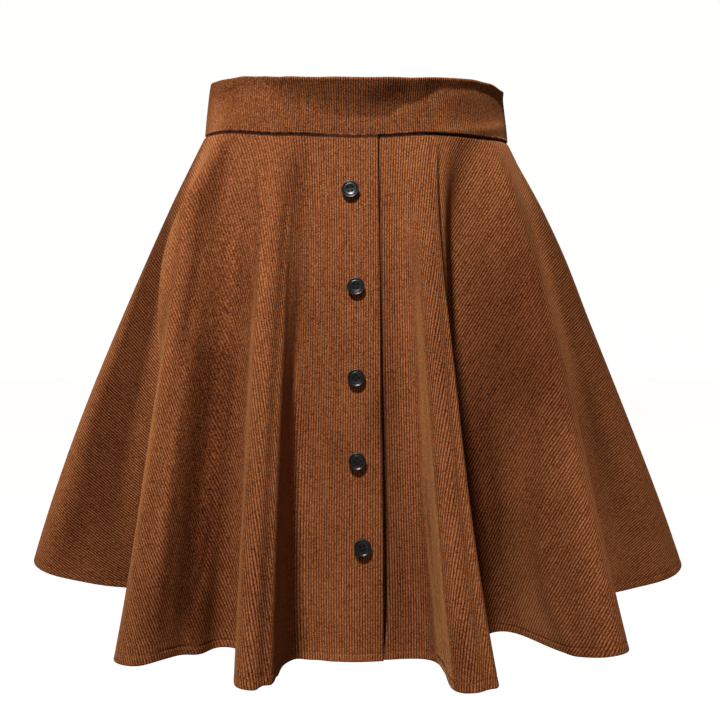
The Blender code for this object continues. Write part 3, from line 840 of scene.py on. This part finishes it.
# -------------------------------------------------------- front under panel
# The wearer's left front, the same cloth and cut, which runs on below the lap.
# The lap's turned edge springs open beside it, so the cloth rolls down there
# into the tuck and comes back up to its level.
# The tuck's rows: the level, and how wide and how deep it is, in millimetres.
TUCK = [(0, 1.8, 2.4), (0.25, 2.2, 3.2), (0.45, 3.4, 5.6), (0.6, 5, 9.2),
        (0.72, 5.6, 10.4), (0.88, 5, 9.2), (0.95, 3, 5.2), (0.975, 1, 2),
        (1, 0.6, 1.4)]
u, v, level, across = front_grid(
    lambda level: at_hem(UNDERLAP_EDGE, level),
    lambda level: cloth_arc(side_seam, 1.0), FOLDED_STRIPS, SEAM_STRIPS,
    lambda level: [(at_hem(fold_line(level) + 0.002, level), 0.005, 9),
                   (cut_line(6.5, 1), 0.010, 1), (cut_line(19, 1), 0.020, 1.5)])
stations, width, depth = np.transpose(TUCK)
width, depth = [np.interp(level, stations, size) / 1000 for size in (width, depth)]
below = falling((across - fold_line(level) - 0.85 * width)
                / (0.05 * width + 0.0001))
under_panel = cloth_panel("under_panel", u, v, 0, 0, -below * depth,
                          cloth_arc(side_seam, level) - cloth_arc(u, level),
                          np.maximum(across - UNDERLAP_EDGE, 0))
hang(under_panel, "front_under_panel", cut_size(u, v, 0))


# ---------------------------------------------------------------- the back
# Two back panels, cut as the fronts with their wales along the centre-back
# seam, and sewn to the fronts at the sides and to each other at the back.
BACK_COLUMNS = 260


def back_panel(name, node, start, end, turn):
    half = cloth_arc(2 * QUARTER, 1.0)
    arcs = placed_between(start, end, BACK_COLUMNS, SEAM_STRIPS, SEAM_STRIPS)
    columns = np.where(arcs <= half, waist_at_hem(arcs),
                       4 * QUARTER - waist_at_hem(2 * half - arcs))
    u, v = np.meshgrid(columns, levels)
    level = np.maximum(v, 0)
    ahead = np.where(u > 2 * QUARTER, u - 4 * QUARTER, u)
    walked = np.where(u > 2 * QUARTER, 2 * cloth_arc(2 * QUARTER, level)
                      + cloth_arc(ahead, level), cloth_arc(ahead, level))
    side = np.minimum(walked - walked[:, :1], walked[:, -1:] - walked)
    centre = -1 if turn > 0 else 0
    ahead[:, centre] -= np.sign(turn) * 1e-7    # stay on this side of the seam
    piece = cloth_panel(name, ahead, v, turn, centre, 0 * u, side)
    hang(piece, node, cut_size(ahead, v, turn))


side_arc = cloth_arc(side_seam, 1.0)
back_arc = cloth_arc(2 * QUARTER, 1.0)
back_panel("back_left", "back_left_panel", side_arc, back_arc, 2 * SIDE_CUT)
back_panel("back_right", "back_right_panel", back_arc, 2 * back_arc - side_arc,
           -2 * SIDE_CUT)


# -------------------------------------------------------------- waistband
# A wide straight band of the same corduroy, interfaced and folded double along
# its top edge, with the skirt sewn into its lower edge.  The wales stand
# upright.  Its top leans out a little over the placket and curls at the sides.
BAND_TOP_HALF_WIDTH = 0.1190
BAND_TOP_HALF_DEPTH = 0.0865
BAND_HEIGHT = 0.0425
BAND_WALL = 0.0026
BAND_PROUD = 0.0006         # how far it stands out past the skirt
BAND_COLUMNS = 210


# How the band's top leans out: degrees round from the front, how far down from
# the top edge the lean starts (share of the height), millimetres out at the
# edge, and how soft its start is.
BAND_LEANS = [
    (-180, 0.30, 0.5, 1.6), (-88, 0.22, -0.4, 1.4), (-62, 0.16, -0.6, 1.5),
    (-38, 0.24, 2.0, 1.9), (-22, 0.46, 7.6, 1.6), (-6, 0.64, 12.6, 1.3),
    (9, 0.66, 13.0, 1.1), (20, 0.44, 9.0, 1.0), (34, 0.18, 4.4, 1.0),
    (54, 0.15, 3.6, 1.1), (74, 0.20, 3.0, 1.2), (90, 0.24, -1.0, 1.4),
]
# How its top edge rises and dips: degrees round from the front, millimetres.
TOP_EDGE = [(-180, 0), (-110, 0.5), (-78, 2), (-64, 3), (-50, 2.6), (-37, 0.8),
            (-27, -1.3), (-10, -3.3), (4, -3.8), (18, -3), (33, -1.1), (46, -1),
            (58, -2.6), (74, -6.2), (92, -6.6), (112, -2), (140, 0)]


def band_lean(u, height):
    """How far the band's outside bends out of its plain cone."""
    start, out, softness = round_waist(u, BAND_LEANS)
    lean = out / 1000 * np.clip(1 - height / start, 0, 1) ** softness
    angle = np.degrees(np.mod(waist_angle(u) + pi, 2 * pi) - pi)
    oval = 0.0012 * near(angle - 36, 17) * near(height - 0.46, 0.20)
    ridge = 0.0011 * near(angle - 46, 22) * near(
        height - 0.90 + 0.006 * (angle - 46), 0.10)
    left_end = -0.0024 * near(angle + 62, 13) * (1 - height) ** 1.2
    return lean + oval + ridge + left_end


def waistband(name, node, start, end):
    columns = placed_between(start, end, BAND_COLUMNS, SEAM_STRIPS, SEAM_STRIPS)
    down = np.concatenate([np.array([0, 2, 7, 13, 22]) / 10000,
                           np.linspace(0.0035, BAND_HEIGHT - 0.0035, 30),
                           BAND_HEIGHT - np.array([24, 16, 10, 5, 1, 0]) / 10000])
    u, height = np.meshgrid(columns, down / BAND_HEIGHT)
    angle = waist_angle(u)
    half_width, half_depth = [
        BAND_PROUD + top + height * (below - top) for top, below in (
            (BAND_TOP_HALF_WIDTH, WAIST_HALF_WIDTH),
            (BAND_TOP_HALF_DEPTH, WAIST_HALF_DEPTH))]
    points = np.stack([half_width * np.sin(angle), -half_depth * np.cos(angle),
                       height * (wave(u, SEAM_WAVES) - BAND_HEIGHT)
                       + (1 - height) * wave(u, TOP_EDGE)], axis=-1)
    normal = cloth_normals(points)
    side = np.minimum(u - start, end - u)
    bottom = (1 - height) * BAND_HEIGHT
    pucker = puckers(u, 0.00018, 1.7, 0.0117)
    shape = (band_lean(u, height) + pucker * np.exp(-bottom / 0.004)
             - 0.0006 * np.exp(-bottom / 0.006)
             - 0.0008 * near(side, SEAM_SINK))
    points = points + normal * shape[..., None]
    edge = np.minimum(np.minimum(height * BAND_HEIGHT, bottom), side)
    piece = sewn_cloth(name, points, normal, side, BAND_WALL + 0 * u, edge,
                       (u, -height * BAND_HEIGHT), (u, 1 + 0 * u, bottom),
                       painted_shade_and_ruffle(u, -bottom / CLOTH_LENGTH, 0 * u), 1 + 0 * u)
    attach(piece, "root")
    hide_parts(node)


waistband("band_front", "waistband_front", -side_seam, side_seam)
waistband("band_back", "waistband_back", side_seam, WAIST_GIRTH - side_seam)


# ---------------------------------------------------------------- buttons
# Five round black plastic buttons with a raised rim, a dished face and four
# holes, each sewn on the lap with black thread, just proud of the pile.
BUTTON_RADIUS = 0.0065
BUTTON_HEIGHT = 0.0022
BUTTON_STAND = 0.0022
HOLE_RADIUS = 0.0009
HOLE_SPACING = 0.00135
THREAD_RADIUS = 0.00014
HOLES = [(x * HOLE_SPACING, y * HOLE_SPACING) for x in (-1, 1) for y in (-1, 1)]
# From the top down: how far across the centre front in millimetres and how far
# down the cloth in thousandths they sit, and their turn in degrees.
BUTTONS = [(-4, 107, 8), (0, 292, -3), (0.2, 463, 44), (1, 618, 46), (5, 779, 16)]
# From the rim inwards: how far in, and up or down, each turning goes, in
# hundredths of a millimetre.
BUTTON_FACE = [(18, 18), (30, 10), (45, -16), (45, -28), (25, -20), (25, 0),
               (28, 18), (60, -10), (110, -24), (120, -8), (60, 0)]
BUTTON_UNDERSIDE = [(12, 0), (150, 30), (200, 0)]


def only(*items):
    bpy.ops.object.select_all(action="DESELECT")
    for item in items:
        item.select_set(True)
    bpy.context.view_layer.objects.active = items[-1]


def mode(name):
    bpy.ops.object.mode_set(mode=name)


def shaped(add, **sizes):
    """A new primitive on its own, with its place and turn in its mesh."""
    bpy.ops.object.select_all(action="DESELECT")
    add(**sizes)
    bpy.ops.object.transform_apply(location=True, rotation=True, scale=True)
    return bpy.context.active_object


def rod(sides, radius, length, middle):
    return shaped(bpy.ops.mesh.primitive_cylinder_add, vertices=sides,
                  radius=radius, depth=length, location=middle)


def inset_ends(item, way, turnings):
    """Turn the flat end of a round piece that faces up, or down, further in."""
    bpy.ops.mesh.select_mode(type="FACE")
    for inward, upward in turnings:
        bpy.ops.mesh.select_all(action="DESELECT")
        mode("OBJECT")
        for face in item.data.polygons:
            face.select = (face.normal.z * way > 0.9
                           and Vector(face.center.xy).length < 0.0001)
        mode("EDIT")
        bpy.ops.mesh.inset(thickness=inward / 100000, depth=upward / 100000)


def clear_below(height):
    """In edit mode, cut away what is lower, and leave the rest selected."""
    bpy.ops.mesh.select_all(action="SELECT")
    bpy.ops.mesh.bisect(plane_co=(0, 0, height), plane_no=(0, 0, 1),
                        clear_inner=True, use_fill=True)
    bpy.ops.mesh.select_all(action="SELECT")


def turned_button():
    blank = rod(40, BUTTON_RADIUS, BUTTON_HEIGHT, (0, 0, BUTTON_HEIGHT / 2))
    mode("EDIT")
    inset_ends(blank, 1, BUTTON_FACE)
    inset_ends(blank, -1, BUTTON_UNDERSIDE)
    mode("OBJECT")
    smooth = blank.modifiers.new("smooth", "SUBSURF")
    smooth.levels = smooth.render_levels = 2
    only(blank)
    bpy.ops.object.modifier_apply(modifier="smooth")
    for x, y in HOLES:
        drill = rod(20, HOLE_RADIUS, 0.012, (x, y, 0))
        hole = blank.modifiers.new("hole", "BOOLEAN")
        hole.object, hole.operation, hole.solver = drill, "DIFFERENCE", "EXACT"
        only(blank)
        bpy.ops.object.modifier_apply(modifier="hole")
        bpy.data.objects.remove(drill, do_unlink=True)
    only(blank)
    bpy.ops.object.shade_smooth_by_angle(angle=radians(55))
    return blank


def sewing_thread():
    """Two loops of thread from hole to hole, and the shank below."""
    strands = []
    for y in (-HOLE_SPACING, HOLE_SPACING):
        strands.append(shaped(
            bpy.ops.mesh.primitive_torus_add, major_segments=28, minor_segments=8,
            major_radius=HOLE_SPACING, minor_radius=THREAD_RADIUS,
            location=(0, 0, 0), rotation=(pi / 2, 0, 0)))
        mode("EDIT")
        clear_below(0)
        bpy.ops.transform.resize(value=(1, 1.3, 0.24))
        bpy.ops.transform.translate(value=(0, y, 0.00118))
        mode("OBJECT")
    for x, y in HOLES:
        strands.append(rod(12, 0.00086, 0.0014, (x, y, -0.0001)))
    shank = rod(20, 0.0019, 0.0034, (0, 0, -0.0010))
    mode("EDIT")
    inset_ends(shank, 1, [(50, 0)])
    inset_ends(shank, -1, [(50, 0)])
    mode("OBJECT")
    only(*strands, shank)
    bpy.ops.object.join()
    bpy.ops.object.shade_smooth_by_angle(angle=radians(40))
    return shank


def black_plastic():
    finish = Finish("black_button")
    cloud = finish.noise(finish.place(), 420.0, 3.0)
    rub = finish.noise(finish.place(), 2600.0)
    finish.wear(Base_Color=finish.blend(cloud.clear_of(0.3, 0.75),
                                        (0.0056, 0.0068, 0.0064),
                                        (0.0096, 0.0112, 0.0107)),
                Roughness=0.29 + cloud * 0.05,
                Normal=finish.bump(rub, 0.02, 0.00005))
    return finish.material


def black_thread():
    finish = Finish("black_thread")
    ply = finish.node("ShaderNodeTexWave", {"wave_type": "BANDS"},
                      {"Vector": finish.place(), "Scale": 900.0,
                       "Distortion": 1.5})
    finish.wear(Base_Color=finish.blend(ply, (0.0005,) * 3, (0.0020,) * 3),
                Roughness=0.7, Normal=finish.bump(ply, 0.5, 0.0001))
    return finish.material


button_blank, thread_blank = turned_button(), sewing_thread()
button_black, thread_black = black_plastic(), black_thread()
for number, (across, down, spin) in enumerate(BUTTONS, 1):
    across, down = across / 1000, down / 1000
    at = waist_at_pattern(across, down)
    around = np.array([[at - 0.0005, at, at + 0.0005]] * 3)
    height = np.array([[down + step] * 3 for step in (-0.001, 0, 0.001)])
    spot = cloth(around, height)
    face = Vector(cloth_normals(spot)[1, 1])
    lift = float(lap_shape(np.array(across), down)
                 + crease_height(around, height)[1, 1])
    seat = Vector(spot[1, 1]) + face * (lift + BUTTON_STAND)
    across_way = Vector((0, 0, 1)).cross(face).normalized()
    turn = Matrix((across_way, face.cross(across_way), face)).transposed()
    place = (Matrix.Translation(seat) @ turn.to_4x4()
             @ Matrix.Rotation(radians(spin), 4, "Z"))
    for blank, name, finish in (
            (button_blank, f"sewn_button_{number}", button_black),
            (thread_blank, f"thread_{number}", thread_black)):
        mesh = blank.data.copy()
        mesh.transform(place)
        mesh.materials.clear()
        mesh.materials.append(finish)
        piece = linked(name, mesh)
        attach(piece, "root")
        if blank is button_blank:
            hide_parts(f"button_{number}")
for blank in (button_blank, thread_blank):
    bpy.data.objects.remove(blank, do_unlink=True)


# ------------------------------------------------------ floor, light, camera
# A plain white studio: a wide floor well below that runs into a white cove all
# round, a key light above the front, a wide faint fill from below and a dim
# surround.  Floor and cove are bright to the eye and light nothing.
COVE_RADIUS = 12
FLOOR_HEIGHT = -1.95
LAMP_AIM = Vector((0, 0, -0.22))
CAMERA_TIP = 7.66           # degrees down

floor = shaped(bpy.ops.mesh.primitive_uv_sphere_add, segments=64, ring_count=48,
               radius=COVE_RADIUS, location=(0, 0, 0))
floor.name = "floor_and_cove"
mode("EDIT")
clear_below(FLOOR_HEIGHT)
bpy.ops.mesh.flip_normals()
mode("OBJECT")
paint = Finish("pale_floor")
paint.wear(Base_Color=(0.92, 0.92, 0.92), Roughness=0.9,
           Emission_Color=(1.0, 1.0, 1.0), Emission_Strength=0.9)
floor.data.materials.append(paint.material)
floor.visible_diffuse = floor.visible_glossy = floor.visible_shadow = False

world = bpy.data.worlds.new("pale_surround")
bpy.context.scene.world = world
world.use_nodes = True
surround = world.node_tree.nodes["Background"].inputs
surround["Color"].default_value = (1, 0.86, 0.74, 1)
surround["Strength"].default_value = 0.10


def lamp(name, toward, elevation, distance, size, power):
    azimuth, height = radians(toward), radians(elevation)
    way = Vector((sin(azimuth) * cos(height), -cos(azimuth) * cos(height),
                  sin(height)))
    light = bpy.data.lights.new(name, "AREA")
    light.size, light.energy = size, power
    item = linked(name, light)
    item.location = LAMP_AIM + way * distance
    item.rotation_euler = (-way).to_track_quat("-Z", "Y").to_euler()


lamp("key", toward=-16, elevation=55, distance=2.4, size=0.20, power=71)
lamp("fill", toward=-25, elevation=-38, distance=1.7, size=2.4, power=5.2)

camera = linked("camera", bpy.data.cameras.new("camera"))
camera.data.sensor_width = 36
camera.data.lens = 59.5
camera.location = (0.003, -1.0, -0.0923)
camera.rotation_euler = (radians(90 - CAMERA_TIP), 0, 0)
bpy.context.scene.camera = camera
bpy.context.scene.view_settings.view_transform = "Standard"
